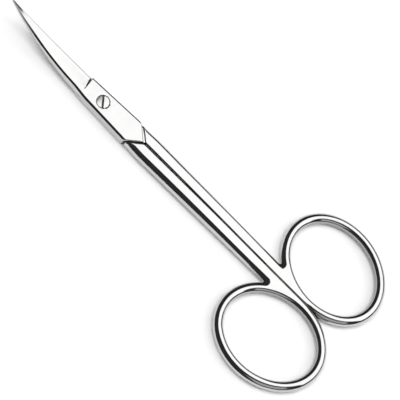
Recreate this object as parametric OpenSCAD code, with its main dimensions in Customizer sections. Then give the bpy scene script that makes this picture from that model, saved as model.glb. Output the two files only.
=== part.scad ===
// Cuticle scissors with curved blades, closed and lying on their flat side.
// Two forged halves cross at a lap joint and turn on one slotted screw.
// X runs from the blade tips to the finger rings, Y from the lower half's ring to the upper
// half's ring, and Z up through the screw head. The origin is on the pivot axis, in the plane
// of the joint's underside. Millimetres.

/* [Blades] */
// Length from the pivot to the tips
blade_length = 26.3; // [25:0.1:28.5]
// Width of a blade at its heel, where it leaves the joint
blade_width = 4.3; // [3.9:0.05:4.6]
// Width of a blade at its tip
tip_width = 0.26; // [0.2:0.02:0.5]
// Thickness of one blade at the tip, along its spine
tip_thickness = 0.3; // [0.25:0.01:0.6]
// Thickness left at the cutting edge, as a share of the thickness at the spine
edge_share = 0.44; // [0.3:0.01:0.45]
// Radius of the upward bend of both blades
bend_radius = 51.5; // [46:0.5:90]

/* [Lap joint] */
// Thickness of both halves together at the screw
joint_thickness = 2.8; // [2.7:0.1:3.2]
// Distance from the pivot to the blade's heel
heel_distance = 4.4; // [4.2:0.1:5.2]
// Distance from the pivot to the point of the shoulder behind the joint
shoulder_distance = 11.4; // [10.8:0.1:12]
// Length of the slanted end of the joint
shoulder_length = 3.1; // [2.7:0.1:3.4]
// Width of the joint, measured at the pivot
joint_width = 4.85; // [4.7:0.05:5]
// Chamfer along the joint's long edges
joint_chamfer = 0.45; // [0.35:0.05:0.55]

/* [Shanks and finger rings] */
// Half of the width of both shanks together, behind the joint
shank_width = 3.0; // [2.8:0.1:3.2]
// The same, where the shank runs into its ring
shank_end_width = 2.5; // [2.2:0.05:2.5]
// Thickness of the shanks behind the joint
shank_thickness = 2.7; // [2.5:0.05:2.8]
// Distance from the pivot to the middle of the finger rings
ring_distance = 56.1; // [54:0.1:62]
// Distance from the closing plane to the middle of a ring
ring_offset = 9.9; // [9.7:0.05:10.2]
// Length of a finger hole
hole_length = 20.4; // [19:0.1:22]
// Width of a finger hole
hole_width = 16.3; // [15.8:0.1:16.8]
// Thickness of the ring's bar, round outside and flatter towards the hole
ring_bar = 2.1; // [1.9:0.05:2.4]
// Angle by which the far ends of the rings turn towards each other
ring_toe_in = 9.5; // [4:0.5:11]

/* [Pivot screw] */
// Diameter of the screw head
head_d = 2.7; // [2.4:0.1:3.0]
// Height of the screw head
head_h = 0.7; // [0.5:0.05:0.8]
// Width of the slot
slot_width = 0.42; // [0.34:0.02:0.5]
// Depth of the slot
slot_depth = 0.32; // [0.2:0.02:0.4]
// Direction of the slot, turned from the long axis
slot_angle = 128; // [0:1:180]
// Diameter of the plain neck that the upper half turns on
neck_d = 1.7; // [1.6:0.05:1.9]
// Diameter of the screwed end, held in the lower half
tail_d = 1.4; // [1.2:0.05:1.5]

/* [Clearances] */
// Gap between the halves' flat faces, in the joint and between the shanks
face_gap = 0.04; // [0.02:0.01:0.08]
// Extra hollow in the inner face of each blade
blade_hollow = 0.03; // [0.02:0.01:0.06]
// Gap at the shoulder behind the joint, along the long axis
shoulder_gap = 0.3; // [0.2:0.05:0.4]
// Radial clearance between the neck and the upper half
neck_clearance = 0.02; // [0.01:0.01:0.05]
// Radial clearance round the screw head
head_clearance = 0.05; // [0.03:0.01:0.1]
// How far the screwed end stays back from the underside
tail_recess = 0.06; // [0.03:0.01:0.15]

/* [Hidden] */

// The lower half is turned over about the long axis: its own left is the other's right
UPPER = 1;
LOWER = -1;

mid_z = joint_thickness / 2;
half_thickness = joint_thickness / 2;
bend_start = -2.7;
heel_x = -heel_distance;
heel_ramp = 0.5;
tip_x = -blade_length;
bevel_start = 0.37;
tip_edge_share = 0.62;
edge_land = 0.04;
back_round = 0.7;
back_share = 0.55;
plan_power = 1.65;
spine_power = 1.2;

joint_taper = 0.04;
shoulder_front = shoulder_distance - shoulder_length;
shoulder_width = joint_width / 2 + joint_taper * shoulder_front;
shoulder_slope = shoulder_width / shoulder_length;

// Part of the slab that runs on under the shank, lower than both so that a nick stays between
root_depth = 0.15;
root_overlap = 0.4;

shank_front = shoulder_front + 0.2;
shank_full = shoulder_distance + 2;
shank_crotch = ring_distance - 6;
shank_end = ring_distance + 0.5;
shank_tail_width = 1.45;
inner_round = 0.25;
side_bulge = 1.4;
side_power = 2.2;

ring_a = (hole_length + ring_bar) / 2;
ring_b = (hole_width + ring_bar) / 2;
hole_side_power = 2.4;

blade_steps = 26;
flank_steps = 4;
plug_width = 1.8;
plug_height = 0.5;
plug_depth = 0.3;
shank_steps = 26;
side_steps = 10;
ring_steps = 80;
bar_steps = 16;

function mix(a, b, t) = a + (b - a) * t;
function clamp01(t) = max(0, min(1, t));
function smooth(t) = let (c = clamp01(t)) c * c * (3 - 2 * c);

// Height of the blades' parting surface above the joint's parting plane
function lift(x) = x >= bend_start ? 0 : bend_radius - sqrt(pow(bend_radius, 2) - pow(bend_start - x, 2));

// A point of either half, from its own sideways and outward distances
function place(side, x, y, h) = [x, side * y, mid_z + lift(x) + side * h];

// How far along the blade x lies, 0 at the heel and 1 at the tip
function along_blade(x) = clamp01((heel_x - x) / (heel_x - tip_x));
function blade_half_width(x) =
    mix(tip_width, blade_width, 1 - pow(along_blade(x), plan_power)) / 2;
function spine_height(x) =
    mix(tip_thickness, half_thickness, 1 - pow(along_blade(x), spine_power));

// How much of the blade's bevel is there, 0 on the joint and 1 on the blade
function bevel_share(x) = smooth((heel_x - x) / heel_ramp);

function joint_half_width(x) = joint_width / 2 + joint_taper * x;
function half_width(x) = mix(joint_half_width(x), blade_half_width(x), bevel_share(x));

// Spine side of a section, from the inner face up to the top, t from 0 to 1
function joint_flank(width, inner, top, t) =
    t <= 0.5 ? [-width, mix(inner, top - joint_chamfer, 2 * t)]
    : [-width + joint_chamfer * (2 * t - 1), top - joint_chamfer * (2 - 2 * t)];
function blade_flank(width, inner, top, t) =
    let (r = min(back_round, back_share * width))
    [-width + r * (1 - cos(90 * t)), mix(inner, top, sin(90 * t))];

// Outline of a blade across x: flat inner face, round spine, level top and bevel to the edge
function blade_section(x) =
    let (
        share = bevel_share(x),
        inner = face_gap / 2 + blade_hollow * smooth((bend_start - x) / 2),
        top = spine_height(x),
        width = half_width(x),
        left = mix(edge_share, tip_edge_share, along_blade(x)),
        edge = mix(top - joint_chamfer, mix(inner, top, left), share),
        ridge = mix(0, -bevel_start * width, share),
        corner = [width - mix(joint_chamfer, edge_land, share), mix(top, edge + edge_land, share)],
        middle = [(ridge + corner[0]) / 2, (top + corner[1]) / 2]
    )
    concat(
        [for (i = [0:flank_steps])
            let (t = i / flank_steps)
            mix(joint_flank(width, inner, top, t), blade_flank(width, inner, top, t), share)],
        [[ridge, top], middle, corner, [width, edge], [width, inner]]
    );

// Sideways distance of the shoulder, which the other half's joint lies against
function shoulder_y(x) = max(face_gap / 2, shoulder_slope * (shoulder_distance + shoulder_gap - x));

function shank_half_width(x) =
    x < shank_full
        ? mix(shoulder_width + 0.05, shank_width, smooth((x - shank_front) / (shank_full - shank_front)))
    : x < shank_crotch ? mix(shank_width, shank_end_width, (x - shank_full) / (shank_crotch - shank_full))
    : mix(shank_end_width, shank_tail_width, (x - shank_crotch) / (shank_end - shank_crotch));
function shank_half_height(x) = mix(shank_thickness / 2, ring_bar / 2 - 0.06, smooth((x - 30) / (shank_crotch - 30)));

// Outline of a shank across x: flat on the closing plane, level on top, round outside
function shank_section(x) =
    let (
        inner = shoulder_y(x),
        outer = shank_half_width(x),
        h = shank_half_height(x),
        bulge = min(side_bulge, 0.7 * (outer - inner)),
        corner = min(inner_round, 0.25 * (outer - inner))
    )
    concat(
        [[inner, -h + corner], [inner, h - corner], [inner + corner, h]],
        [for (i = [0:side_steps])
            let (a = 90 - 180 * i / side_steps)
            [
                outer - bulge + bulge * pow(abs(cos(a)), 2 / side_power),
                h * sign(sin(a)) * pow(abs(sin(a)), 2 / side_power)
            ]],
        [[inner + corner, -h]]
    );

// Triangles that join sections of n points, with a fan over each end
function skin_faces(rows, n) = concat(
    [for (i = [0:rows - 2], j = [0:n - 1])
        let (k = (j + 1) % n) [i * n + j, (i + 1) * n + j, (i + 1) * n + k]],
    [for (i = [0:rows - 2], j = [0:n - 1])
        let (k = (j + 1) % n) [i * n + j, (i + 1) * n + k, i * n + k]]
);
function end_faces(rows, n) = [
    [for (j = [0:n - 1]) j],
    [for (j = [n - 1:-1:0]) (rows - 1) * n + j]
];

module blade(side) {
    stations = concat(
        [bend_start, (bend_start + heel_x) / 2],
        [for (i = [0:4]) heel_x - heel_ramp * i / 4],
        [for (i = [1:blade_steps]) mix(heel_x - heel_ramp, tip_x, i / blade_steps)]
    );
    n = len(blade_section(bend_start));
    // Smaller round plug at the back that lies inside the slab
    plug = [for (j = [0:n - 1])
        let (a = 225 - 270 * j / (n - 1))
        place(side, bend_start + plug_depth, plug_width * cos(a), half_thickness / 2 + plug_height * sin(a))];
    rings = concat([plug], [for (x = stations) [for (p = blade_section(x)) place(side, x, p[0], p[1])]]);
    polyhedron(
        points = [for (r = rings, p = r) p],
        faces = concat(skin_faces(len(rings), n), end_faces(len(rings), n))
    );
}

// Corners of the slab's outline, moved in by c along the two long edges
function slab_outline(c) =
    let (
        y = (joint_width / 2 + joint_taper * shoulder_distance - c) / (1 + joint_taper / shoulder_slope),
        x = shoulder_distance - y / shoulder_slope,
        front = joint_half_width(bend_start) - c
    )
    [[bend_start, -front], [x, -y], [shoulder_distance, 0], [x, y], [bend_start, front]];

// Slab of the lap joint with its pointed end behind the screw, and the root of the shank
module joint_slab(side) {
    levels = [
        [for (p = slab_outline(0)) [p[0], p[1], face_gap / 2]],
        [for (p = slab_outline(0)) [p[0], p[1], half_thickness - joint_chamfer]],
        [for (p = slab_outline(joint_chamfer)) [p[0], p[1], half_thickness]]
    ];
    n = len(levels[0]);
    sides = [for (k = [0:1], i = [0:n - 1])
        let (j = (i + 1) % n) [k * n + i, (k + 1) * n + i, (k + 1) * n + j, k * n + j]];
    root_width = shoulder_width - root_overlap;
    root = [
        [shoulder_front, 0],
        [shoulder_front, root_width],
        [shoulder_distance + root_overlap, root_width],
        [shoulder_distance + root_overlap, root_overlap]
    ];
    translate([0, 0, mid_z])
        rotate([side == UPPER ? 0 : 180, 0, 0])
            union() {
                polyhedron(
                    points = [for (level = levels, p = level) p],
                    faces = concat([[for (i = [0:n - 1]) i], [for (i = [3 * n - 1:-1:2 * n]) i]], sides)
                );
                translate([0, 0, face_gap / 2])
                    linear_extrude(shank_thickness / 2 - root_depth - face_gap / 2)
                        polygon(root);
            }
}

module shank(side) {
    stations = concat(
        [for (i = [0:5]) mix(shank_front, shoulder_distance + shoulder_gap, i / 5)],
        [for (i = [1:shank_steps]) mix(shoulder_distance + shoulder_gap, shank_end, i / shank_steps)]
    );
    rings = [for (x = stations) [for (p = shank_section(x)) place(side, x, p[0], p[1])]];
    n = len(rings[0]);
    polyhedron(
        points = [for (r = rings, p = r) p],
        faces = concat(
            [for (f = skin_faces(len(rings), n)) [f[2], f[1], f[0]]],
            [for (f = end_faces(len(rings), n)) [for (j = [n - 1:-1:0]) f[j]]]
        )
    );
}

// Middle line of the ring's bar and the direction away from the hole, at angle a
function ring_centre(a) =
    let (u = ring_a * cos(a), v = ring_b * sin(a), c = cos(ring_toe_in), s = sin(ring_toe_in))
    [ring_distance + c * u + s * v, ring_offset - s * u + c * v];
function ring_outward(a) =
    let (u = ring_b * cos(a), v = ring_a * sin(a), c = cos(ring_toe_in), s = sin(ring_toe_in), l = norm([u, v]))
    [(c * u + s * v) / l, (c * v - s * u) / l];

// Section of the bar at angle b, 0 away from the hole: half round outside, squarer towards the hole
function bar_point(b) =
    let (power = cos(b) < 0 ? 2 / hole_side_power : 1)
    ring_bar / 2 * [sign(cos(b)) * pow(abs(cos(b)), power), sign(sin(b)) * pow(abs(sin(b)), power)];

module finger_ring(side) {
    points = [for (i = [0:ring_steps - 1], j = [0:bar_steps - 1])
        let (
            a = 360 * i / ring_steps,
            b = bar_point(360 * j / bar_steps),
            m = ring_centre(a),
            o = ring_outward(a)
        )
        place(side, m[0] + b[0] * o[0], m[1] + b[0] * o[1], b[1])];
    function at(i, j) = (i % ring_steps) * bar_steps + j % bar_steps;
    difference() {
        polyhedron(
            points = points,
            faces = concat(
                [for (i = [0:ring_steps - 1], j = [0:bar_steps - 1]) [at(i, j), at(i, j + 1), at(i + 1, j + 1)]],
                [for (i = [0:ring_steps - 1], j = [0:bar_steps - 1]) [at(i, j), at(i + 1, j + 1), at(i + 1, j)]]
            )
        );
        // Flat that meets the other ring when the scissors are closed
        translate([0, side * (face_gap / 2 - ring_bar), 0])
            translate([ring_distance, 0, mid_z])
                cube([2 * hole_length, 2 * ring_bar, 2 * ring_bar], center = true);
    }
}

module forged_half(side) {
    blade(side);
    joint_slab(side);
    shank(side);
    finger_ring(side);
}

module upper_half() {
    head_floor = joint_thickness - head_h;
    color("gainsboro")
        difference() {
            forged_half(UPPER);
            cylinder(r = neck_d / 2 + neck_clearance, h = 2 * joint_thickness, $fn = 64);
            translate([0, 0, head_floor])
                cylinder(r = head_d / 2 + head_clearance, h = joint_thickness, $fn = 64);
        }
}

module lower_half() {
    color("silver")
        difference() {
            forged_half(LOWER);
            translate([0, 0, -1])
                cylinder(d = tail_d, h = joint_thickness, $fn = 64);
        }
}

module pivot_screw() {
    head_floor = joint_thickness - head_h;
    neck_floor = mid_z - face_gap / 2;
    color("lightgray")
        difference() {
            union() {
                translate([0, 0, tail_recess])
                    cylinder(d = tail_d, h = neck_floor - tail_recess, $fn = 64);
                translate([0, 0, neck_floor])
                    cylinder(d = neck_d, h = head_floor - neck_floor, $fn = 64);
                translate([0, 0, head_floor])
                    cylinder(d = head_d, h = head_h, $fn = 64);
            }
            translate([0, 0, joint_thickness])
                rotate([0, 0, slot_angle])
                    cube([2 * head_d, slot_width, 2 * slot_depth], center = true);
        }
}

lower_half();
upper_half();
pivot_screw();
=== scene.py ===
"""Cuticle scissors: the finished looks of the two forged halves and their pivot screw."""

import logging
import math
from dataclasses import dataclass, field
from enum import Enum
from typing import Callable

import bmesh
import bpy
import numpy as np
from mathutils import Matrix, Vector


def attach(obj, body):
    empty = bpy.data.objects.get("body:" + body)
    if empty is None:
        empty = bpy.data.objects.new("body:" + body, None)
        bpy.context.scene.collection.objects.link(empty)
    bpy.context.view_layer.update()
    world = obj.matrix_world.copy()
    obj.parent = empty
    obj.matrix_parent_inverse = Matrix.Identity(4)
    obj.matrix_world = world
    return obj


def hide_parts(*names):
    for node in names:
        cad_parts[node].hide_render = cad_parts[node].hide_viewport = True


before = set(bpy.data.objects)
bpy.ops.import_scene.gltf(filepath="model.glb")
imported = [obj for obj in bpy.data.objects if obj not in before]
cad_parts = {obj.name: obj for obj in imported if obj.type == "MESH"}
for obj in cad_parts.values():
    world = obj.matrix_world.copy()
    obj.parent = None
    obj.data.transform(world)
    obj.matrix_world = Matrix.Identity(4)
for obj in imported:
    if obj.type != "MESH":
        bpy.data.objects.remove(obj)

LOG = logging.getLogger("cuticle_scissors")
MM = 0.001
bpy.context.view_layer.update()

Value = np.ndarray | float
Outline = list[tuple[float, float]]
Faces = list[tuple[int, ...]]
Colour = tuple[float, float, float]

WEAR = "wear"
# Attribute of the painted shade that darkens the finger hole's wall.
PAINTED_HOLE_SHADE = "painted_hole_shade"
SCREW_WEAR = 0.3


class Side(Enum):
    """Which way round a forging lies: the lower one is turned over about the long axis."""

    UPPER = 1
    LOWER = -1


class Zone(Enum):
    """Parts of a forging that are finished differently, in material slot order; the seam takes dark
    steel as painted shade.
    """

    POLISHED = 0
    GROUND = 1
    INNER = 2
    SEAM = 3


def smooth(x: Value, start: float = 0.0, run: float = 1.0) -> Value:
    """Ease from 0 at a start to 1 after a run, which is negative if it goes backwards."""
    c = np.clip((x - start) / run, 0.0, 1.0)
    return c * c * (3.0 - 2.0 * c)


def mix(a: Value, b: Value, t: Value) -> Value:
    """Blend from a at share 0 to b at share 1."""
    return a + (b - a) * t


def round_union(a: np.ndarray, b: np.ndarray, radius: Value) -> np.ndarray:
    """Join two distance fields with a hollow fillet between them.

    Args:
        a: Distances to the first shape.
        b: Distances to the second shape.
        radius: Radius of the fillet.

    Returns:
        Distances to both together.
    """
    u = np.maximum(radius - a, 0.0)
    v = np.maximum(radius - b, 0.0)
    return np.maximum(radius, np.minimum(a, b)) - np.hypot(u, v)


def round_cut(a: np.ndarray, b: np.ndarray, radius: Value) -> np.ndarray:
    """Keep what two distance fields share, with a rounded edge where they meet."""
    return -round_union(-a, -b, radius)


@dataclass
class Shell:
    """A surface in a forging's own millimetres: x along, y sideways, h outwards."""

    points: np.ndarray
    faces: Faces

    @staticmethod
    def taken(bm: bmesh.types.BMesh) -> "Shell":
        """Take the shell out of an edit mesh and free that."""
        bm.verts.index_update()
        points = np.array([v.co[:] for v in bm.verts])
        faces = [tuple(v.index for v in f.verts) for f in bm.faces]
        bm.free()
        return Shell(points, faces)

    def editable(self) -> bmesh.types.BMesh:
        """Return the shell as an edit mesh, without its doubled and degenerate faces."""
        bm = bmesh.new()
        verts = [bm.verts.new(p) for p in self.points]
        for f in self.faces:
            try:
                bm.faces.new([verts[i] for i in f])
            except ValueError:
                continue
        return bm

    def joined(self, other: "Shell") -> "Shell":
        """Return one shell with the faces of this one and another."""
        shift = len(self.points)
        faces = self.faces + [tuple(i + shift for i in f) for f in other.faces]
        return Shell(np.vstack([self.points, other.points]), faces)

    def outward(self) -> "Shell":
        """Return the shell with its faces pointing outwards, so with a volume above zero."""
        fans = [(f[0], f[i], f[i + 1]) for f in self.faces for i in range(1, len(f) - 1)]
        a, b, c = (self.points[list(corner)] for corner in zip(*fans))
        turned_in = np.sum(a * np.cross(b, c)) < 0.0
        return Shell(self.points, [f[::-1] for f in self.faces] if turned_in else self.faces)


def loft(rows: list[np.ndarray], last_cap: bool = True) -> Shell:
    """Skin a row of closed sections that have the same number of points.

    Args:
        rows: The sections, in order.
        last_cap: Whether to close the last section, as the first one always is.

    Returns:
        The skinned shell.
    """
    n = len(rows[0])
    faces: Faces = []
    for i in range(len(rows) - 1):
        for j in range(n):
            k = (j + 1) % n
            faces.append((i * n + j, (i + 1) * n + j, (i + 1) * n + k, i * n + k))
    faces.append(tuple(range(n)))
    if last_cap:
        faces.append(tuple((len(rows) - 1) * n + j for j in range(n - 1, -1, -1)))
    return Shell(np.vstack(rows), faces)


def soft_corner(
    before: tuple[float, float],
    corner: tuple[float, float],
    after: tuple[float, float],
    reach: float,
    count: int,
) -> Outline:
    """Round one corner of an outline.

    Args:
        before: The outline's point before the corner.
        corner: The corner.
        after: The outline's point after the corner.
        reach: How far from the corner the rounding starts.
        count: How many points to lay on it.

    Returns:
        Points from the side of the first point to the side of the last.
    """
    c = np.array(corner)
    ends = []
    for other in (before, after):
        away = np.array(other) - c
        ends.append(c + away / np.linalg.norm(away) * reach)
    shares = np.linspace(0.0, 1.0, count)
    return [tuple((1 - t) ** 2 * ends[0] + 2 * t * (1 - t) * c + t * t * ends[1]) for t in shares]


@dataclass(frozen=True)
class BendLine:
    """The parting surface between the halves, level at the joint and bent up along the blades."""

    middle: float = 1.4
    start: float = -2.7
    radius: float = 51.5

    def lift(self, x: np.ndarray) -> np.ndarray:
        """Return how far the parting surface stands above the joint's parting plane at x."""
        run = np.minimum(x - self.start, 0.0)
        return self.radius - np.sqrt(self.radius**2 - run**2)

    def place(self, points: np.ndarray, side: Side) -> np.ndarray:
        """Put one half's own points, in millimetres, into the part's frame, in metres."""
        z = self.middle + self.lift(points[:, 0]) + side.value * points[:, 2]
        return np.column_stack([points[:, 0], side.value * points[:, 1], z]) * MM


@dataclass(frozen=True)
class BladeAndJoint:
    """Blade and joint slab of one half, skinned from the tip to the pointed end behind the screw."""

    half_thickness: float = 1.4
    gap: float = 0.04
    hollow: float = 0.03
    bend_start: float = -2.7
    hollow_run: float = 2.0
    ridge_run: float = 1.6
    spine_run: float = 4.5
    tip_x: float = -26.3
    heel_x: float = -4.4
    heel_slant: float = -0.122
    heel_ramp: float = 0.6
    least_ramp: float = 0.25
    blade_width: float = 4.3
    tip_width: float = 0.26
    tip_thickness: float = 0.3
    edge_at_heel: float = 0.44
    edge_at_tip: float = 0.62
    plan_power: float = 1.65
    spine_power: float = 1.2
    bevel_start: float = 0.37
    back_round: float = 0.7
    back_round_end: float = 0.6
    back_share: float = 0.55
    joint_width: float = 4.85
    taper: float = 0.04
    spine_chamfer: tuple[float, float] = (0.38, 0.42)
    edge_chamfer: tuple[float, float] = (0.4, 0.21)
    chamfer_round: float = 0.12
    edge_round: float = 0.32
    shoulder_point: float = 11.4
    shoulder_front: float = 8.3
    chevron_start: float = 3.0
    end_round: float = 0.28
    corner_points: int = 5
    flat_points: int = 7
    bevel_points: int = 7
    side_points: int = 9

    def along(self, x: float) -> float:
        """Return how far along the blade x lies, 0 at the heel and 1 at the tip."""
        return float(np.clip((self.heel_x - x) / (self.heel_x - self.tip_x), 0.0, 1.0))

    def joint_half(self, x: float) -> float:
        """Return half of the joint's width at x."""
        return self.joint_width / 2 + self.taper * x

    def blade_half(self, x: float) -> float:
        """Return half of the blade's width at x."""
        return mix(self.tip_width, self.blade_width, 1 - self.along(x) ** self.plan_power) / 2

    def top(self, x: float) -> float:
        """Return the height of the spine above the parting surface at x."""
        return mix(self.tip_thickness, self.half_thickness, 1 - self.along(x) ** self.spine_power)

    def inner(self, x: float) -> float:
        """Return the height of the inner face, which is ground hollow along the blade."""
        return self.gap / 2 + self.hollow * smooth(x, self.bend_start, -self.hollow_run)

    def bevel(self, x: float, y: float) -> float:
        """Return how much of the bevel is there, with the slanted heel line."""
        line = self.heel_x + self.heel_slant * y
        ridge = self.ridge(self.heel_x)
        reach = np.clip((y - ridge) / (self.blade_half(self.heel_x) - ridge), self.least_ramp, 1.0)
        return float(smooth(x, line, -self.heel_ramp * float(reach)))

    def ridge(self, x: float) -> float:
        """Return the sideways place of the ridge between the blade's top and its bevel."""
        share = float(smooth(x, self.bend_start, -self.ridge_run))
        return mix(0.0, -self.bevel_start * self.blade_half(x), share)

    def joint_outline(self, x: float, drop: float) -> Outline:
        """Lay out the joint's section as y and h, from the inner face over the top and down again.

        Args:
            x: Place along the part.
            drop: How far the top has rounded off, for the slab's end.

        Returns:
            The outline's points, in the same order and number as the blade's.
        """
        w, low, r = self.joint_half(x), self.inner(x), self.chamfer_round
        top = self.half_thickness - drop

        def flank(across: float, down: float) -> Outline:
            """Lay out one side wall and the chamfer above it, which is across wide and down high."""
            foot, knee, brow = (-w, low), (-w, top - down), (-w + across, top)
            wall = [foot, (-w, (low + top - down) / 2)]
            wall += soft_corner(foot, knee, brow, r, self.corner_points)
            return wall + soft_corner(knee, brow, (0.0, top), r, self.corner_points)

        ridge = self.ridge(x)
        spine, edge = self.spine_chamfer, self.edge_chamfer
        shares = np.linspace(0.0, 1.0, self.flat_points + 1)[1:]
        over = [(mix(-w + spine[0] + r, ridge, t), top) for t in shares]
        shares = np.linspace(0.0, 1.0, self.bevel_points + 1)[1:-1]
        over += [(mix(ridge, w - edge[0] - r, t), top) for t in shares]
        return flank(*spine) + over + [(-y, h) for y, h in reversed(flank(*edge))]

    def blade_outline(self, x: float) -> Outline:
        """Lay out the blade's section: round spine, level top, bevel and narrow edge.

        Args:
            x: Place along the part.

        Returns:
            The outline's points as y and h.
        """
        w, low, top = self.blade_half(x), self.inner(x), self.top(x)
        back = mix(self.back_round, self.back_round_end, min(1.0, 2 * self.along(x)))
        back = min(back, self.back_share * w)
        n = self.corner_points
        angles = np.radians(np.linspace(0, 90, 2 * n + 2))
        side = [(-w + back * (1 - math.cos(a)), mix(low, top, math.sin(a))) for a in angles]
        ridge = self.ridge(x)
        shares = np.linspace(0.0, 1.0, self.flat_points + 1)[1:]
        over = [(mix(-w + back, ridge, t), top) for t in shares]
        edge = mix(low, top, mix(self.edge_at_heel, self.edge_at_tip, self.along(x)))
        r = min(self.edge_round, 0.3 * w, 0.6 * (edge - low))
        shares = np.linspace(0.0, 1.0, self.bevel_points + n)[1:-1]
        over += [(mix(ridge, w - r, t), mix(top, edge, t)) for t in shares]
        over += soft_corner((ridge, top), (w, edge), (w, low), r, n + 1)
        return side + over + [(w, (edge + low) / 2), (w, low)]

    def section(self, x_of: Callable[[float], float], drop: float = 0.0) -> np.ndarray:
        """Lay out one closed section.

        Args:
            x_of: Gives the x of a point from its sideways distance.
            drop: How far the top edge has rounded off towards the section, for the slab's end.

        Returns:
            The section's points as x, y and h.
        """
        rows: list[tuple[float, float, float]] = []
        half = 2 * self.corner_points + 2 + self.flat_points
        for i in range(len(self.joint_outline(0.0, 0.0))):
            y = 0.0
            x = x_of(y)
            for _ in range(4):
                jy, jh = self.joint_outline(x, drop)[i]
                by, bh = self.blade_outline(x)[i]
                spine = float(smooth(x, self.bend_start, -self.spine_run))
                share = spine if i < half else self.bevel(x, y)
                y, h = mix(jy, by, share), mix(jh, bh, share)
                x = x_of(y)
            rows.append((x, y, h))
        last = rows[-1]
        for t in np.linspace(0.0, 1.0, self.side_points)[1:-1]:
            y = mix(last[1], rows[0][1], t)
            rows.append((x_of(y), y, last[2]))
        return np.array(rows)

    def rows(self) -> list[np.ndarray]:
        """Return all sections from the tip to the slab's pointed end."""
        slope = (self.shoulder_point - self.shoulder_front) / self.joint_half(self.shoulder_front)
        blade = [
            np.linspace(self.tip_x, -23.0, 14),
            np.linspace(-22.5, -7.5, 40),
            np.linspace(-7.2, self.heel_x - 0.7, 9),
        ]
        places = [(x, 0.0) for x in np.concatenate(blade)]
        places += [(self.heel_x + s, self.heel_slant) for s in np.linspace(-0.6, 0.25, 18)]
        for s in np.linspace(0.1, 1.0, 10):
            places.append((self.heel_x + 0.25 + s * 1.6, (1 - s) * self.heel_slant))
        places += [(x, 0.0) for x in np.linspace(-2.0, self.chevron_start, 12)[1:]]
        sections = [self.section(lambda y, x=x, slant=slant: x + slant * y) for x, slant in places]

        def to_end(u: float, short: float) -> Callable[[float], float]:
            """Slant the sections gradually into the pointed end."""
            reach = self.shoulder_point - short
            return lambda y: mix(self.chevron_start, reach - slope * abs(y), u)

        stretch = self.end_round * math.hypot(1.0, slope)
        for u in np.linspace(0.0, 1.0, 14)[1:]:
            sections.append(self.section(to_end(u, stretch)))
        for a in np.radians(np.linspace(0, 90, 6)[1:]):
            drop = self.end_round * (1 - math.cos(a))
            sections.append(self.section(to_end(1.0, stretch * (1 - math.sin(a))), drop))
        return sections

    def shell(self) -> Shell:
        """Return the closed shell of blade and slab."""
        return loft(self.rows()).outward()


@dataclass(frozen=True)
class FingerRing:
    """Bar bent to an oval, round outside and flatter towards the hole."""

    centre_x: float = 56.1
    centre_y: float = 9.9
    hole_length: float = 20.4
    hole_width: float = 16.3
    bar: float = 2.095
    toe_in: float = 9.5
    hole_side_power: float = 2.3

    def plan(self, points: np.ndarray) -> np.ndarray:
        """Return how far points lie from the bar's middle line, seen from above.

        Args:
            points: Points as x, y and h.

        Returns:
            One distance for each point, negative on the side of the hole.
        """
        a = (self.hole_length + self.bar) / 2
        b = (self.hole_width + self.bar) / 2
        c, s = math.cos(math.radians(self.toe_in)), math.sin(math.radians(self.toe_in))
        dx, dy = points[:, 0] - self.centre_x, points[:, 1] - self.centre_y
        u, v = dx * c - dy * s, dx * s + dy * c
        t = np.arctan2(v * a, u * b)
        for _ in range(6):
            ct, st = np.cos(t), np.sin(t)
            slope = (a * a - b * b) * ct * st - u * a * st + v * b * ct
            curve = (a * a - b * b) * (ct * ct - st * st) - u * a * ct - v * b * st
            curve = np.where(np.abs(curve) < 1e-6, -1e-6, curve)
            t = t - np.clip(slope / curve, -0.3, 0.3)
        far = np.hypot(u - a * np.cos(t), v - b * np.sin(t))
        return np.where((u / a) ** 2 + (v / b) ** 2 < 1.0, -far, far)


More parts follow.
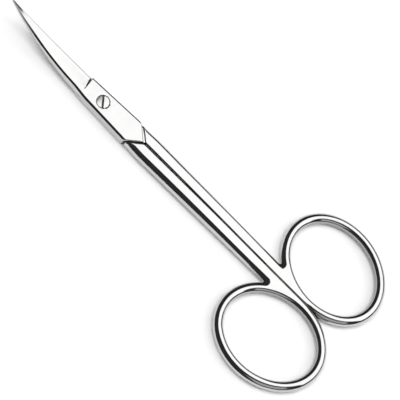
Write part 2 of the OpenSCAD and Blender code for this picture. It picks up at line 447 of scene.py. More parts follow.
@dataclass(frozen=True)
class Shank:
    """Bar from the joint to the ring: flat on the closing plane, round outside."""

    shoulder_point: float = 11.4
    shoulder_front: float = 8.3
    shoulder_width: float = 2.757
    shoulder_gap: float = 0.45
    gap: float = 0.04
    width: float = 3.0
    end_width: float = 2.5
    thickness: float = 2.7
    bar: float = 2.1
    crotch: float = 50.1
    tail: float = 60.0
    bulge: float = 1.4
    bulge_end: float = 1.1
    power: float = 2.1
    ring_power: float = 1.82
    inner_round: float = 0.45
    inner_round_end: float = 0.26
    end_round: float = 0.28
    straight_from: float = 15.0
    net_from: float = 40.0
    section_points: int = 46
    corner_arc: tuple[float, float] = (112.0, 152.0)
    corner_step: float = 1.6
    core: float = 1.3
    widest: float = 4.0
    halvings: int = 40
    thinning: tuple[float, float] = (30.0, 20.1)
    flattening: tuple[float, float] = (16.0, 24.0)
    ringing: tuple[float, float] = (42.0, 8.0)
    sharpening: tuple[float, float] = (12.0, 30.0)
    first_bulge: float = 0.55
    first_run: float = 2.5

    def slope(self) -> float:
        """Return how fast the slanted shoulder runs out sideways along the part."""
        return self.shoulder_width / (self.shoulder_point - self.shoulder_front)

    def half_width(self, x: np.ndarray) -> np.ndarray:
        """Return the outer side's distance from the closing plane at x."""
        full = self.shoulder_point + 2.0
        grown = smooth(x, self.shoulder_front, full - self.shoulder_front)
        start = mix(self.shoulder_width + 0.05, self.width, grown)
        rest = mix(self.width, self.end_width, (x - full) / (self.crotch - full))
        tail = mix(self.end_width, -3.0, (x - self.crotch) / (self.tail - self.crotch))
        return np.where(x < full, start, np.where(x < self.crotch, rest, tail))

    def half_height(self, x: np.ndarray) -> np.ndarray:
        """Return half of the thickness at x."""
        return mix(self.thickness / 2, self.bar / 2, smooth(x, *self.thinning))

    def bulge_at(self, x: np.ndarray) -> np.ndarray:
        """Return how far in from the outer side the rounding starts at x."""
        full = mix(self.bulge, self.bulge_end, smooth(x, *self.flattening))
        grown = mix(self.first_bulge, full, smooth(x, self.shoulder_front, self.first_run))
        return mix(grown, self.bar / 2, smooth(x, *self.ringing))

    def power_at(self, x: np.ndarray) -> np.ndarray:
        """Return how square the rounding is at x, where 2 is an ellipse."""
        return mix(self.power, self.ring_power, smooth(x, *self.ringing))

    def rounded(self, depth: np.ndarray, points: np.ndarray, power: np.ndarray) -> np.ndarray:
        """Raise a bar with a flat top and round sides over an outline.

        Args:
            depth: How far inside the outline each point lies, seen from above.
            points: The points as x, y and h.
            power: How square the sides are rounded.

        Returns:
            Distances to the bar's surface.
        """
        high, bulge = self.half_height(points[:, 0]), self.bulge_at(points[:, 0])
        side = np.maximum(bulge - depth, 0.0) / bulge
        level = np.abs(points[:, 2]) / high
        return ((side**power + level**power) ** (1 / power) - 1.0) * high

    def closed(self, body: np.ndarray, points: np.ndarray) -> np.ndarray:
        """Cut the distances at some points off at the closing plane, with a rounded edge."""
        radius = mix(self.inner_round, self.inner_round_end, smooth(points[:, 0], *self.sharpening))
        return round_cut(body, self.gap / 2 - points[:, 1], radius)

    def cut_field(self, points: np.ndarray) -> np.ndarray:
        """Return distances to the shank alone, cut at the closing plane."""
        depth = self.half_width(points[:, 0]) - points[:, 1]
        return self.closed(self.rounded(depth, points, self.power_at(points[:, 0])), points)

    def angles(self) -> np.ndarray:
        """Return where round a section its points lie, closer together at the two inner edges."""
        even = np.linspace(0, 360, self.section_points, endpoint=False)
        corner = np.arange(*self.corner_arc, self.corner_step)
        fine = (corner, 360 - corner[::-1])
        coarse = [a for a in even if not any(c[0] - 1 < a < c[-1] + 1 for c in fine)]
        return np.radians(np.sort(np.concatenate([coarse, corner, 360 - corner])))

    def station(self, x_of: Callable[[np.ndarray], np.ndarray]) -> np.ndarray:
        """Find one section by walking out from its core until the surface is met.

        Args:
            x_of: Gives the x of points from their sideways distances.

        Returns:
            The section's points as x, y and h.
        """
        angles = self.angles()
        low, high = np.zeros_like(angles), np.full_like(angles, self.widest)

        def at(r: np.ndarray) -> np.ndarray:
            """Return the points at these distances from the core."""
            y = self.core + r * np.cos(angles)
            return np.column_stack([x_of(y), y, r * np.sin(angles)])

        for _ in range(self.halvings):
            r = (low + high) / 2
            inside = self.cut_field(at(r)) < 0
            low, high = np.where(inside, r, low), np.where(inside, high, r)
        return at(low)

    def rows(self) -> list[np.ndarray]:
        """Return the sections from the slanted shoulder to where the ring's surface takes over."""
        reach = self.shoulder_point + self.shoulder_gap

        def slanted(share: float, back: float) -> np.ndarray:
            """Return a section that turns from the shoulder's slant to straight across."""
            return self.station(lambda y: mix(
                reach + back - np.maximum(y, 0.0) / self.slope(), self.straight_from, share
            ))

        sections: list[np.ndarray] = []
        for a in np.radians(np.linspace(90, 0, 6)):
            row = slanted(0.0, self.end_round * (1 - math.sin(a)))
            away = (row - (0.0, self.core, 0.0)) * (0.0, 1.0, 1.0)
            pull = self.end_round * (1 - math.cos(a))
            sections.append(row - away / np.linalg.norm(away, axis=1, keepdims=True) * pull)
        for share in np.linspace(0.0, 1.0, 16)[1:]:
            sections.append(slanted(float(share), self.end_round * (1 - share)))
        for x in np.linspace(self.straight_from, self.net_from - 0.12, 60)[1:]:
            sections.append(self.station(lambda y, x=x: np.full_like(y, x)))
        return sections


@dataclass(frozen=True)
class RingAndShank:
    """Shank and ring of one half as one smooth skin that is level across the crotch."""

    shank: Shank = field(default_factory=Shank)
    ring: FingerRing = field(default_factory=FingerRing)
    cell: float = 0.18
    crotch_fillet: float = 0.65
    level_fillet: float = 2.5
    levelling: tuple[float, float] = (47.8, 2.2)
    hole_squaring: tuple[float, float] = (47.0, 3.0)
    reach: tuple[float, float, float] = (69.2, 21.0, 1.8)
    relax_rounds: int = 6

    def field_of(self, points: np.ndarray) -> np.ndarray:
        """Return distances to ring and shank together, cut at the closing plane."""
        x, bar = points[:, 0], self.ring.bar / 2
        off = self.ring.plan(points)
        fillet = mix(self.crotch_fillet, self.level_fillet, smooth(x, *self.levelling))
        outer = -round_union(off - bar, points[:, 1] - self.shank.half_width(x), fillet)
        hole_side = off + bar < outer
        depth = np.where(hole_side, off + bar, outer)
        inner_power = mix(2.0, self.ring.hole_side_power, smooth(x, *self.hole_squaring))
        power = np.where(hole_side, inner_power, self.shank.power_at(x))
        return self.shank.closed(self.shank.rounded(depth, points, power), points)

    def gradient(self, points: np.ndarray) -> np.ndarray:
        """Return the direction in which the distance grows fastest."""
        step = 1e-4
        ahead_behind = [(self.field_of(points + d), self.field_of(points - d)) for d in np.eye(3) * step]
        return np.column_stack([(ahead - behind) / (2 * step) for ahead, behind in ahead_behind])

    def settled(self, points: np.ndarray, rounds: int) -> np.ndarray:
        """Move points straight onto the surface.

        Args:
            points: Points near the surface.
            rounds: How many steps to take.

        Returns:
            Points on the surface.
        """
        for _ in range(rounds):
            slope = self.gradient(points)
            size = np.maximum((slope**2).sum(1), 0.05)
            step = np.clip(self.field_of(points) / size, -0.15, 0.15)
            points = points - slope * step[:, None]
        return points

    def net(self) -> Shell:
        """Skin the field with an even net of four-sided faces, open at its front end."""
        low = np.array([self.shank.net_from - 3 * self.cell, -0.5, -self.reach[2]])
        axes = [np.arange(a, b + self.cell, self.cell) for a, b in zip(low, self.reach)]
        grid = np.stack(np.meshgrid(*axes, indexing="ij"), -1)
        shape = grid.shape[:3]
        values = self.field_of(grid.reshape(-1, 3)).reshape(shape)
        cells = tuple(n - 1 for n in shape)
        total = np.zeros(cells + (3,))
        count = np.zeros(cells)
        unit = np.eye(3, dtype=int)
        quads: list[np.ndarray] = []
        for axis in range(3):
            lined = np.moveaxis(values, axis, 0)
            a, b = (np.moveaxis(part, 0, axis) for part in (lined[:-1], lined[1:]))
            crossing = (a < 0) != (b < 0)
            at = np.argwhere(crossing)
            share = a[crossing] / (a[crossing] - b[crossing])
            spot = at.astype(float)
            spot[:, axis] += share
            p, q = (axis + 1) % 3, (axis + 2) % 3
            around, whole = [], np.ones(len(at), bool)
            for dp, dq in ((0, 0), (-1, 0), (-1, -1), (0, -1)):
                c = at + dp * unit[p] + dq * unit[q]
                fits = ((c >= 0) & (c < cells)).all(1)
                whole &= fits
                np.add.at(total, tuple(c[fits].T), spot[fits])
                np.add.at(count, tuple(c[fits].T), 1.0)
                around.append(c)
            block = np.stack([np.ravel_multi_index(tuple(c[whole].T), cells) for c in around], 1)
            turned = a[crossing][whole] < 0
            block[~turned] = block[~turned][:, ::-1]
            quads.append(block)
        used = count.reshape(-1) > 0
        number = np.cumsum(used) - 1
        points = total.reshape(-1, 3)[used] / count.reshape(-1)[used][:, None] * self.cell + low
        faces = number[np.vstack(quads)]
        edges = np.vstack([faces[:, [i, (i + 1) % 4]] for i in range(4)])
        points = self.settled(points, 3)
        for _ in range(self.relax_rounds):
            near = np.zeros_like(points)
            many = np.zeros(len(points))
            for a, b in (edges.T, edges.T[::-1]):
                np.add.at(near, a, points[b])
                np.add.at(many, a, 1.0)
            points = mix(points, near / many[:, None], 0.5)
            points = self.settled(points, 2)
        return Shell(points, [tuple(int(i) for i in f) for f in faces])

    def shell(self) -> Shell:
        """Return the closed skin from the shoulder round the ring."""
        bm = self.net().editable()
        plane = self.shank.net_from
        geometry = list(bm.verts) + list(bm.edges) + list(bm.faces)
        bmesh.ops.bisect_plane(
            bm, geom=geometry, plane_co=(plane, 0, 0), plane_no=(-1, 0, 0), clear_outer=True, dist=1e-5
        )
        net = Shell.taken(bm)
        rows = self.shank.rows()
        skin = net.joined(loft(rows, last_cap=False))
        rim = np.flatnonzero(np.abs(net.points[:, 0] - plane) < 1e-3)
        last = range(len(skin.points) - len(rows[-1]), len(skin.points))
        near, far = (sorted(loop, key=lambda i: self.turn(skin.points[i])) for loop in (rim, last))
        strip = self.strip(skin.points, near, far)
        return self.tidy(Shell(skin.points, skin.faces + strip))

    def turn(self, point: np.ndarray) -> float:
        """Return the angle of a point round the middle of the shank's section."""
        return math.atan2(point[2], point[1] - self.shank.core) % (2 * math.pi)

    def strip(self, points: np.ndarray, near: list[int], far: list[int]) -> Faces:
        """Fill the narrow gap between two loops that are sorted by angle.

        Args:
            points: All points.
            near: Indices of the first loop.
            far: Indices of the second loop.

        Returns:
            Triangles between the loops.
        """
        faces: Faces = []
        i = j = 0
        turns = []
        for loop in (near, far):
            angles = [self.turn(points[k]) for k in loop]
            turns.append(angles + [2 * math.pi + angles[0]])
        while i < len(near) or j < len(far):
            a, b = near[i % len(near)], far[j % len(far)]
            if j >= len(far) or (i < len(near) and turns[0][i + 1] < turns[1][j + 1]):
                faces.append((a, b, near[(i + 1) % len(near)]))
                i += 1
            else:
                faces.append((a, b, far[(j + 1) % len(far)]))
                j += 1
        return faces

    def tidy(self, body: Shell) -> Shell:
        """Merge doubled points and turn all faces the same way."""
        bm = body.editable()
        bmesh.ops.remove_doubles(bm, verts=bm.verts, dist=1e-4)
        bmesh.ops.recalc_face_normals(bm, faces=bm.faces)
        open_edges = [e for e in bm.edges if not e.is_manifold]
        LOG.info("shank and ring skin: %d faces, %d open edges", len(bm.faces), len(open_edges))
        return Shell.taken(bm).outward()


class NodeSheet:
    """Short hand for laying out a material's nodes."""

    def __init__(self, name: str) -> None:
        """Start a material with a Principled shader.

        Args:
            name: The material's name.
        """
        self.material = bpy.data.materials.new(name)
        self.material.use_nodes = True
        self.tree = self.material.node_tree
        self.shader = self.tree.nodes["Principled BSDF"]
        self.coordinates = self.tree.nodes.new("ShaderNodeTexCoord")

    def add(self, kind: str, **values: object) -> bpy.types.Node:
        """Add a node and set its sockets or properties.

        Args:
            kind: The node's type name.
            **values: Socket or property names with their values.

        Returns:
            The node.
        """
        node = self.tree.nodes.new(kind)
        for key, value in values.items():
            if key in node.inputs:
                node.inputs[key].default_value = value
            else:
                setattr(node, key, value)
        return node

    def link(self, source: bpy.types.NodeSocket, target: bpy.types.NodeSocket) -> None:
        """Connect two sockets."""
        self.tree.links.new(source, target)

    def grain(self, size: tuple[float, float, float], detail: float = 3.0) -> bpy.types.Node:
        """Add a noise pattern on object coordinates.

        Args:
            size: Grain size along each axis, in millimetres.
            detail: Levels of finer grain.

        Returns:
            The noise node.
        """
        mapping = self.add("ShaderNodeMapping")
        mapping.inputs["Scale"].default_value = tuple(1.0 / (s * MM) for s in size)
        self.link(self.coordinates.outputs["Object"], mapping.inputs["Vector"])
        noise = self.add("ShaderNodeTexNoise", Scale=1.0, Detail=detail, Roughness=0.55)
        self.link(mapping.outputs["Vector"], noise.inputs["Vector"])
        return noise

    def ramp(self, source: bpy.types.NodeSocket, low: float, high: float) -> bpy.types.Node:
        """Spread a 0 to 1 pattern between two values.

        Args:
            source: The pattern.
            low: Value where the pattern is low.
            high: Value where the pattern is high.

        Returns:
            The Map Range node.
        """
        node = self.add("ShaderNodeMapRange")
        for key, value in (("From Min", 0.3), ("From Max", 0.7), ("To Min", low), ("To Max", high)):
            node.inputs[key].default_value = value
        self.link(source, node.inputs["Value"])
        return node

    def blend(
        self,
        first: Colour | bpy.types.NodeSocket,
        second: Colour,
        share: bpy.types.NodeSocket,
    ) -> bpy.types.NodeSocket:
        """Blend two colours.

        Args:
            first: Colour, or the socket of one, where the share is 0.
            second: Colour where it is 1.
            share: The share's socket.

        Returns:
            The blended colour's socket.
        """
        node = self.add("ShaderNodeMix", data_type="RGBA")
        if isinstance(first, tuple):
            node.inputs[6].default_value = (*first, 1.0)
        else:
            self.link(first, node.inputs[6])
        node.inputs[7].default_value = (*second, 1.0)
        self.link(share, node.inputs[0])
        return node.outputs[2]


@dataclass(frozen=True)
class SteelFinish:
    """Stainless steel with polishing lines and a little haze, rubbed bright at edges, with painted shade
    on the finger hole's wall.
    """

    name: str
    bright: Colour = (0.59, 0.59, 0.585)
    dull: Colour = (0.54, 0.54, 0.54)
    worn: Colour = (0.62, 0.62, 0.615)
    hole_shade_colour: Colour = (0.33, 0.33, 0.325)
    smoothness: tuple[float, float] = (0.07, 0.15)
    lines: tuple[float, float, float] = (9.0, 0.22, 0.22)
    line_depth: float = 0.0012

    def material(self) -> bpy.types.Material:
        """Return the finish as a node material."""
        sheet = NodeSheet(self.name)
        shader = sheet.shader
        shader.inputs["Metallic"].default_value = 1.0
        cloud = sheet.grain((5.0, 3.0, 3.0), 4.0)
        lines = sheet.grain(self.lines, 2.0)
        tone = sheet.ramp(cloud.outputs["Fac"], 0.55, 1.0)
        shades = sheet.blend(self.dull, self.bright, tone.outputs["Result"])
        # Edges rubbed bright, then painted shade darkening the wall of the finger hole.
        for name, colour in ((WEAR, self.worn), (PAINTED_HOLE_SHADE, self.hole_shade_colour)):
            amount = sheet.add("ShaderNodeAttribute", attribute_name=name)
            shades = sheet.blend(shades, colour, amount.outputs["Fac"])
        sheet.link(shades, shader.inputs["Base Color"])
        rough = sheet.ramp(lines.outputs["Fac"], *self.smoothness)
        sheet.link(rough.outputs["Result"], shader.inputs["Roughness"])
        bump = sheet.add("ShaderNodeBump", Strength=0.35, Distance=self.line_depth * MM)
        sheet.link(lines.outputs["Fac"], bump.inputs["Height"])
        sheet.link(bump.outputs["Normal"], shader.inputs["Normal"])
        return sheet.material


@dataclass(frozen=True)
class TableFinish:
    """Matt white table top."""

    name: str = "white_table"
    colour: Colour = (0.88, 0.88, 0.88)
    mottle: float = 0.01

    def material(self) -> bpy.types.Material:
        """Return the table top as a node material with a faint mottle."""
        sheet = NodeSheet(self.name)
        darker = tuple(c - self.mottle for c in self.colour)
        grain = sheet.grain((60.0, 60.0, 60.0), 3.0)
        shades = sheet.blend(darker, self.colour, grain.outputs["Fac"])
        sheet.link(shades, sheet.shader.inputs["Base Color"])
        sheet.shader.inputs["Roughness"].default_value = 0.9
        sheet.shader.inputs["Specular IOR Level"].default_value = 0.1
        return sheet.material


def placed(name: str, data: bpy.types.ID) -> bpy.types.Object:
    """Return a new object of a mesh, lamp or camera, linked to the scene."""
    made = bpy.data.objects.new(name, data)
    bpy.context.scene.collection.objects.link(made)
    return made


def numbers(items: bpy.types.bpy_prop_collection, name: str) -> np.ndarray:
    """Return a three-part property of a mesh's points, faces or corners, one row for each."""
    out = np.empty(len(items) * 3)
    items.foreach_get(name, out)
    return out.reshape(-1, 3)


def store(mesh: bpy.types.Mesh, name: str, amounts: np.ndarray) -> None:
    """Store one number for each point of a mesh."""
    stored = mesh.attributes.new(name, "FLOAT", "POINT")
    stored.data.foreach_set("value", amounts.astype(np.float32))


def object_from(name: str, points: np.ndarray, faces: Faces) -> bpy.types.Object:
    """Make a mesh object at the origin.

    Args:
        name: The object's name.
        points: Its points in metres.
        faces: Its faces.

    Returns:
        The object, linked to the scene.
    """
    mesh = bpy.data.meshes.new(name)
    mesh.from_pydata([tuple(p) for p in points], [], faces)
    mesh.validate()
    mesh.update()
    return placed(name, mesh)


def combined(base: bpy.types.Object, other: bpy.types.Object, operation: str) -> None:
    """Apply a boolean with another object and remove that object.

    Args:
        base: The object that is changed.
        other: The tool, which is deleted afterwards.
        operation: UNION, DIFFERENCE or INTERSECT.
    """
    modifier = base.modifiers.new("combine", "BOOLEAN")
    modifier.operation = operation
    modifier.solver = "EXACT"
    modifier.object = other
    settle(base)
    bpy.data.objects.remove(other, do_unlink=True)


def settle(made: bpy.types.Object) -> None:
    """Replace an object's mesh with its evaluated mesh and drop its modifiers."""
    graph = bpy.context.evaluated_depsgraph_get()
    graph.update()
    mesh = bpy.data.meshes.new_from_object(made.evaluated_get(graph))
    old = made.data
    made.modifiers.clear()
    made.data = mesh
    bpy.data.meshes.remove(old)


def turned(name: str, profile: Outline, steps: int = 96) -> bpy.types.Object:
    """Turn a closed profile round the pivot axis.

    Args:
        name: The object's name.
        profile: Radius and height pairs in millimetres, from axis to axis.
        steps: Points round the axis.

    Returns:
        The turned object.
    """
    bm = bmesh.new()
    rings: list[list[bmesh.types.BMVert]] = []
    for radius, height in profile:
        if radius < 1e-9:
            rings.append([bm.verts.new((0, 0, height * MM))])
            continue
        r, angles = radius * MM, (2 * math.pi * i / steps for i in range(steps))
        rings.append([bm.verts.new((r * math.cos(a), r * math.sin(a), height * MM)) for a in angles])
    for lower, upper in zip(rings, rings[1:]):
        for i in range(steps):
            corners = ((lower, i), (lower, (i + 1) % steps), (upper, (i + 1) % steps), (upper, i))
            distinct = list(dict.fromkeys(ring[k % len(ring)] for ring, k in corners))
            if len(distinct) > 2:
                bm.faces.new(distinct)
    bmesh.ops.recalc_face_normals(bm, faces=bm.faces)
    mesh = bpy.data.meshes.new(name)
    bm.to_mesh(mesh)
    bm.free()
    return placed(name, mesh)


@dataclass
class Forging:
    """One half of the scissors: blade, joint slab, shank and finger ring in one piece."""

    side: Side
    bend: BendLine = field(default_factory=BendLine)
    blade: BladeAndJoint = field(default_factory=BladeAndJoint)
    handle: RingAndShank = field(default_factory=RingAndShank)
    head_d: float = 2.7
    head_h: float = 0.7
    neck_d: float = 1.7
    tail_d: float = 1.4
    head_clearance: float = 0.05
    neck_clearance: float = 0.02
    mouth_round: float = 0.05
    mouth_angle: float = 55.0
    tail_rim: float = 0.08
    root_depth: float = 0.3
    root_inset: float = 0.05
    ground_to: float = 11.5
    inner_depth: float = 0.12
    inner_facing: float = 0.8
    split_from: float = 11.0
    split_reach: float = 0.2
    split_steepness: float = 0.6
    shoulder_range: tuple[float, float] = (8.0, 12.5)
    shoulder_facing: float = 0.4
    shoulder_steepness: float = 0.35
    hole_wall: tuple[float, float] = (0.8, 0.12)
    sharp_angle: float = 32.0
    exact_from: float = 15.2

    def name(self) -> str:
        """Return the name of the node that this half stands for."""
        return "upper_half" if self.side is Side.UPPER else "lower_half"

    def root(self) -> Shell:
        """Return the bridge of metal between the slab and the shank."""
        plan = [(8.6, 0.4), (8.6, 2.1), (11.9, 2.2), (11.9, 0.3), (11.2, 0.06)]
        low, high = self.root_inset, self.blade.half_thickness - self.root_inset - self.root_depth
        rows = [np.array([(x, y, h) for x, y in plan]) for h in (low, high)]
        return loft(rows).outward()

    def part(self, name: str, shell: Shell) -> bpy.types.Object:
        """Return an object of a shell in the forging's own millimetres, placed on this half."""
        return object_from(name, self.bend.place(shell.points, self.side), shell.faces)

    def bore(self) -> bpy.types.Object:
        """Return the tool that opens this half for the screw."""
        if self.side is Side.LOWER:
            hole, rim, below = self.tail_d / 2, self.tail_rim, 0.45
            mouth = [(0, -below), (hole + rim + below, -below), (hole + rim, 0.0)]
            return turned("bore", [*mouth, (hole, rim), (hole, 2.0), (0, 2.0)])
        top, above = 2 * self.bend.middle, 0.2
        neck = self.neck_d / 2 + self.neck_clearance
        head = self.head_d / 2 + self.head_clearance
        profile = [(0, 0.5), (neck, 0.5), (neck, top - self.head_h), (head, top - self.head_h)]
        r = self.mouth_round
        for a in np.radians(np.linspace(0, self.mouth_angle, 5)):
            profile.append((head + r * (1 - math.cos(a)), top - r * (1 - math.sin(a))))
        return turned("bore", [*profile, (head + 0.5, top + above), (0, top + above)])

    def build(self) -> bpy.types.Object:
        """Return the finished mesh of this half."""
        body = self.part(self.name() + "_forging", self.blade.shell())
        combined(body, self.bore(), "DIFFERENCE")
        combined(body, self.part("root", self.root()), "UNION")
        combined(body, self.part("handle", self.handle.shell()), "UNION")
        LOG.info("%s: %d faces", body.name, len(body.data.polygons))
        return body

    def dress(self, body: bpy.types.Object, finishes: dict[Zone, bpy.types.Material]) -> None:
        """Give the half its finishes and its smooth shading.

        Args:
            body: The half's mesh.
            finishes: One material for each zone.
        """
        mesh = body.data
        mesh.materials.clear()
        for zone in Zone:
            mesh.materials.append(finishes[zone])
        normals, centres = numbers(mesh.polygons, "normal"), numbers(mesh.polygons, "center") / MM
        x, y = centres[:, 0], self.side.value * centres[:, 1]
        level = np.abs(normals[:, 2])
        near = np.abs(centres[:, 2] - self.bend.middle - self.bend.lift(x)) < self.inner_depth
        inner = near & (-self.side.value * normals[:, 2] > self.inner_facing)
        first, last = self.shoulder_range
        slanted = (np.abs(normals[:, 0]) > self.shoulder_facing) & (level < self.shoulder_steepness)
        shoulder = (x > first) & (x < last) & slanted
        split = (x > self.split_from) & (y < self.split_reach) & (level < self.split_steepness)
        zone = np.zeros(len(x), dtype=np.int32)
        zone[x < self.ground_to] = Zone.GROUND.value
        zone[(x < self.ground_to) & inner] = Zone.INNER.value
        # Seam zone: dark steel as painted shade in the split between the halves and in the gap at the
        # slanted shoulder.
        zone[shoulder | split] = Zone.SEAM.value
        mesh.polygons.foreach_set("material_index", zone)
        mesh.polygons.foreach_set("use_smooth", np.ones(len(x), dtype=bool))
        mesh.set_sharp_from_angle(angle=math.radians(self.sharp_angle))
        self.smooth_handle(mesh)
        self.mark_wear_and_hole_shade(mesh)
        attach(body, "turning_half" if self.side is Side.UPPER else "fixed_half")
        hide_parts(self.name())

    def smooth_handle(self, mesh: bpy.types.Mesh) -> None:
        """Shade the shank and the ring with the exact direction of their surface.

        Args:
            mesh: The half's mesh, with its sharp edges marked.
        """
        side = self.side.value
        own = numbers(mesh.vertices, "co") / MM
        own = np.column_stack([own[:, 0], side * own[:, 1], side * (own[:, 2] - self.bend.middle)])
        corner = numbers(mesh.corner_normals, "vector")
        index = np.empty(len(mesh.loops), dtype=np.int32)
        mesh.loops.foreach_get("vertex_index", index)
        chosen = own[:, 0] > self.exact_from
        exact = np.zeros_like(own)
        exact[chosen] = self.handle.gradient(own[chosen]) * (1, side, side)
        size = np.linalg.norm(exact, axis=1, keepdims=True)
        exact = exact / np.maximum(size, 1e-9)
        fits = chosen[index] & ((exact[index] * corner).sum(1) > 0.85)
        corner[fits] = exact[index][fits]
        mesh.normals_split_custom_set(corner.tolist())

    def mark_wear_and_hole_shade(self, mesh: bpy.types.Mesh) -> None:
        """Store how much each point is rubbed bright, at edges, and how much painted shade darkens the
        finger hole's wall.
        """
        bm = bmesh.new()
        bm.from_mesh(mesh)
        sharp = np.zeros(len(mesh.vertices))
        for edge in bm.edges:
            if len(edge.link_faces) == 2 and edge.calc_face_angle(0.0) > math.radians(self.sharp_angle):
                for vert in edge.verts:
                    sharp[vert.index] = 1.0
        bm.free()
        store(mesh, WEAR, sharp)
        ring = self.handle.ring
        # Painted shade: the finger hole's wall is darkened to stand for the shadowed table that it
        # mirrors.
        own = numbers(mesh.vertices, "co") / MM * (1, self.side.value, 1)
        start, run = self.hole_wall
        store(mesh, PAINTED_HOLE_SHADE, np.clip((-ring.plan(own) / (ring.bar / 2) - start) / run, 0.0, 1.0))


@dataclass
class PivotScrew:
    """Slotted screw: domed flush head, plain neck, tail that shows from behind."""

    top: float = 2.8
    head_d: float = 2.7
    head_h: float = 0.7
    neck_d: float = 1.7
    root_d: float = 1.26
    recess: float = 0.06
    parting: float = 1.38
    slot_width: float = 0.42
    slot_depth: float = 0.32
    slot_angle: float = 128.0
    dome: float = 0.05
    head_round: float = 0.08
    sharp_angle: float = 28.0

    def build(self) -> bpy.types.Object:
        """Return the screw's mesh."""
        r, tail, neck = self.head_d / 2, self.root_d / 2, self.neck_d / 2
        floor = self.top - self.head_h
        edge = self.head_round
        flat = r - edge
        low = self.recess
        profile = [(0.0, low), (tail - 0.22, low), (tail - 0.08, low + 0.05), (tail, low + 0.16)]
        profile += [(tail, self.parting), (neck, self.parting), (neck, floor), (r, floor)]
        for a in np.radians(np.linspace(0, 80, 7)):
            profile.append((flat + edge * math.cos(a), self.top - self.dome - edge * (1 - math.sin(a))))
        for i in range(9, -1, -1):
            x = (flat - 0.02) * i / 9
            profile.append((x, self.top - self.dome * (x / flat) ** 2))
        screw = turned("pivot_screw_turned", profile)
        combined(screw, self.slot(), "DIFFERENCE")
        return screw

    def slot(self) -> bpy.types.Object:
        """Return the cutter of the slot, with a rounded floor and broken edges."""
        w, d = self.slot_width / 2, self.slot_depth
        outline = [(-w - 0.16, 0.12), (-w - 0.03, 0.0), (-w, -0.035), (-w, -d + 0.06), (-w + 0.06, -d)]
        outline += [(-y, z) for y, z in reversed(outline)]
        turn = Matrix.Rotation(math.radians(self.slot_angle), 4, "Z")
        rows = [
            np.array([(turn @ Vector((x, y, 0.0)))[:2] + (self.top + z,) for y, z in outline])
            for x in (-2.4, 2.4)
        ]
        shell = loft(rows).outward()
        return object_from("slot", shell.points * MM, shell.faces)

    def dress(
        self, screw: bpy.types.Object, finish: bpy.types.Material, dark: bpy.types.Material
    ) -> None:
        """Give the screw its finishes.

        Args:
            screw: The screw's mesh.
            finish: Its turned steel.
            dark: The steel inside the slot, rough and painted dark as shade in the recess.
        """
        mesh = screw.data
        mesh.materials.clear()
        mesh.materials.append(finish)
        mesh.materials.append(dark)
        turn = math.radians(self.slot_angle)
        # Faces inside the slot take the dark steel, painted shade of the recess.
        for face in mesh.polygons:
            across = (face.center.y * math.cos(turn) - face.center.x * math.sin(turn)) / MM
            deep = self.top - face.center.z / MM
            in_slot = abs(across) < self.slot_width / 2 + 0.01 and 0.04 < deep < self.slot_depth + 0.02
            reach = math.hypot(face.center.x, face.center.y) / MM
            face.material_index = int(in_slot and reach < self.head_d / 2 - 0.01)
        mesh.polygons.foreach_set("use_smooth", np.ones(len(mesh.polygons), dtype=bool))
        mesh.set_sharp_from_angle(angle=math.radians(self.sharp_angle))
        store(mesh, WEAR, np.full(len(mesh.vertices), SCREW_WEAR))
        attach(screw, "fixed_half")
        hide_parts("pivot_screw")


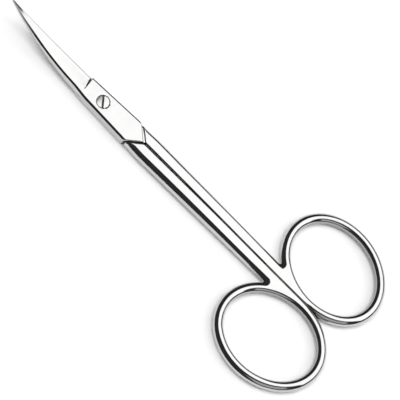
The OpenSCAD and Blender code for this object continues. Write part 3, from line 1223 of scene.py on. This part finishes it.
@dataclass(frozen=True)
class ScrewThread:
    """Thread of the screw's tail: a round crest swept along a helix by geometry nodes."""

    radius: float = 0.625
    crest: float = 0.065
    pitch: float = 0.25
    low: float = 0.2
    high: float = 1.28
    turn_points: int = 48
    crest_points: int = 10

    def rule(self) -> tuple[bpy.types.NodeTree, dict[str, str]]:
        """Return the node group that sweeps a thread, and the identifiers of its inputs by name."""
        tree = bpy.data.node_groups.new("thread_rule", "GeometryNodeTree")
        inputs: dict[str, str] = {}
        for name in ("Radius", "Pitch", "Height", "Crest", "Steel"):
            kind = "Material" if name == "Steel" else "Float"
            item = tree.interface.new_socket(name, in_out="INPUT", socket_type=f"NodeSocket{kind}")
            inputs[name] = item.identifier
        tree.interface.new_socket("Geometry", in_out="OUTPUT", socket_type="NodeSocketGeometry")
        given, result = tree.nodes.new("NodeGroupInput"), tree.nodes.new("NodeGroupOutput")
        turns = tree.nodes.new("ShaderNodeMath")
        turns.operation = "DIVIDE"
        helix = tree.nodes.new("GeometryNodeCurveSpiral")
        helix.inputs["Resolution"].default_value = self.turn_points
        crest = tree.nodes.new("GeometryNodeCurvePrimitiveCircle")
        crest.inputs["Resolution"].default_value = self.crest_points
        sweep = tree.nodes.new("GeometryNodeCurveToMesh")
        sweep.inputs["Fill Caps"].default_value = True
        painted = tree.nodes.new("GeometryNodeSetMaterial")
        for source, target in (
            (given.outputs["Height"], turns.inputs[0]),
            (given.outputs["Pitch"], turns.inputs[1]),
            (turns.outputs[0], helix.inputs["Rotations"]),
            (given.outputs["Radius"], helix.inputs["Start Radius"]),
            (given.outputs["Radius"], helix.inputs["End Radius"]),
            (given.outputs["Height"], helix.inputs["Height"]),
            (given.outputs["Crest"], crest.inputs["Radius"]),
            (helix.outputs["Curve"], sweep.inputs["Curve"]),
            (crest.outputs["Curve"], sweep.inputs["Profile Curve"]),
            (sweep.outputs["Mesh"], painted.inputs["Geometry"]),
            (given.outputs["Steel"], painted.inputs["Material"]),
            (painted.outputs["Geometry"], result.inputs["Geometry"]),
        ):
            tree.links.new(source, target)
        return tree, inputs

    def build(self, steel: bpy.types.Material) -> bpy.types.Object:
        """Sweep the thread and fix it to the screw.

        Args:
            steel: The screw's finish.

        Returns:
            The thread as a plain mesh object.
        """
        tree, inputs = self.rule()
        thread = placed("screw_thread", bpy.data.meshes.new("screw_thread"))
        swept = thread.modifiers.new("thread", "NODES")
        swept.node_group = tree
        height = self.high - self.low
        sizes = {"Radius": self.radius, "Pitch": self.pitch, "Height": height, "Crest": self.crest}
        for name, size in sizes.items():
            swept[inputs[name]] = size * MM
        swept[inputs["Steel"]] = steel
        graph = bpy.context.evaluated_depsgraph_get()
        mesh = bpy.data.meshes.new_from_object(thread.evaluated_get(graph))
        thread.modifiers.remove(swept)
        mesh.name = "screw_thread"
        mesh.transform(Matrix.Translation((0.0, 0.0, self.low * MM)))
        mesh.polygons.foreach_set("use_smooth", np.ones(len(mesh.polygons), dtype=bool))
        store(mesh, WEAR, np.full(len(mesh.vertices), SCREW_WEAR))
        thread.data = mesh
        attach(thread, "fixed_half")
        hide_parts("pivot_screw")
        return thread


@dataclass(frozen=True)
class SoftBox:
    """Flat soft light over a rectangle, hidden from reflections if it isn't mirrored."""

    name: str
    x: tuple[float, float]
    y: tuple[float, float]
    height: float
    level: float
    aimed: bool = False
    mirrored: bool = True

    def build(self) -> None:
        """Hang the lamp level above the table, or aim it at the part."""
        data = bpy.data.lights.new(self.name, "AREA")
        data.shape = "RECTANGLE"
        wide, deep = self.x[1] - self.x[0], self.y[1] - self.y[0]
        data.size, data.size_y = wide, deep
        data.energy = self.level * math.pi * wide * deep
        lamp = placed(self.name, data)
        lamp.location = (sum(self.x) / 2, sum(self.y) / 2, self.height)
        lamp.visible_glossy = self.mirrored
        if self.aimed:
            lamp.rotation_euler = lamp.location.to_track_quat("Z", "Y").to_euler()


@dataclass(frozen=True)
class Studio:
    """White table, a soft box overhead, one that only lights the table, a fill and a dim room."""

    table_size: float = 6.0
    boxes: tuple[SoftBox, ...] = (
        SoftBox("overhead", (-0.21, 2.4), (0.063, 1.92), 1.2, 1.68),
        SoftBox("key", (-0.8, 0.3), (-0.58, 0.2), 1.19, 5.3, mirrored=False),
        SoftBox("fill", (0.6, 1.9), (-1.75, -0.35), 1.2, 0.5, aimed=True),
    )
    room: Colour = (0.035, 0.035, 0.035)

    def table(self) -> None:
        """Lay the table top under the part."""
        s = self.table_size / 2
        corners = np.array([(-s, -s, 0), (s, -s, 0), (s, s, 0), (-s, s, 0)])
        top = object_from("table_top", corners, [(0, 1, 2, 3)])
        top.data.materials.append(TableFinish().material())

    def build(self) -> None:
        """Set up the table, the soft boxes and the dim room round them."""
        self.table()
        for box in self.boxes:
            box.build()
        world = bpy.data.worlds.new("room")
        world.use_nodes = True
        world.node_tree.nodes["Background"].inputs["Color"].default_value = (*self.room, 1.0)
        bpy.context.scene.world = world


@dataclass
class PhotoCamera:
    """Camera at the photograph's viewing angle, turned so that the part lies on the diagonal."""

    elevation: float = 67.5
    roll: float = 44.839
    distance: float = 400.0
    scale: float = 5.032
    target: tuple[float, float, float] = (27.356, 0.282, 1.4)
    frame_px: float = 400.0
    sensor: float = 36.0

    def build(self) -> None:
        """Set up the camera as the scene's own."""
        el, roll = math.radians(self.elevation), math.radians(self.roll)
        back = Vector((0.0, -math.cos(el), math.sin(el)))
        right = Vector((1.0, 0.0, 0.0))
        up = back.cross(right)
        x = right * math.cos(roll) + up * math.sin(roll)
        y = up * math.cos(roll) - right * math.sin(roll)
        data = bpy.data.cameras.new("photo_camera")
        data.sensor_width = self.sensor
        data.lens = self.scale * self.distance / self.frame_px * self.sensor
        data.clip_start, data.clip_end = 0.01, 20.0
        camera = placed("photo_camera", data)
        place = Vector(self.target) * MM + back * self.distance * MM
        camera.matrix_world = Matrix.Translation(place) @ Matrix((x, y, back)).transposed().to_4x4()
        bpy.context.scene.camera = camera


def main() -> None:
    """Build the scissors piece by piece, then the stage and the camera."""
    logging.basicConfig(level=logging.INFO, format="%(name)s: %(message)s")
    bpy.context.scene.view_settings.view_transform = "Standard"
    # Dark colours of painted shade, for the seam between the halves and for the screw's slot.
    dark = {"bright": (0.16, 0.16, 0.16), "dull": (0.08, 0.08, 0.08)}
    finishes = {
        Zone.POLISHED: SteelFinish("polished_steel"),
        Zone.GROUND: SteelFinish("ground_steel", smoothness=(0.08, 0.18), lines=(0.25, 6.0, 0.25)),
        Zone.INNER: SteelFinish("inner_steel", smoothness=(0.15, 0.32), lines=(0.2, 5.0, 0.2)),
        # Seam: dark colours as painted shade in the split and the shoulder's gap.
        Zone.SEAM: SteelFinish("seam_painted_shade", smoothness=(0.35, 0.5), worn=(0.16, 0.16, 0.16), **dark),
    }
    steels = {zone: finish.material() for zone, finish in finishes.items()}
    for side in (Side.LOWER, Side.UPPER):
        half = Forging(side)
        half.dress(half.build(), steels)
        LOG.info("built %s", half.name())
    screw = PivotScrew()
    made = screw.build()
    steel = SteelFinish("screw_steel", smoothness=(0.12, 0.24), lines=(0.3, 0.3, 0.3)).material()
    # Slot: dark colours as painted shade in the recess, on a rougher finish.
    slot_painted_shade = SteelFinish("slot_painted_shade", smoothness=(0.4, 0.6), worn=(0.2, 0.2, 0.2), **dark)
    screw.dress(made, steel, slot_painted_shade.material())
    LOG.info("built pivot screw")
    thread = ScrewThread().build(steel)
    LOG.info("built screw thread, %d faces", len(thread.data.polygons))
    Studio().build()
    PhotoCamera().build()


if __name__ == "__main__":
    main()
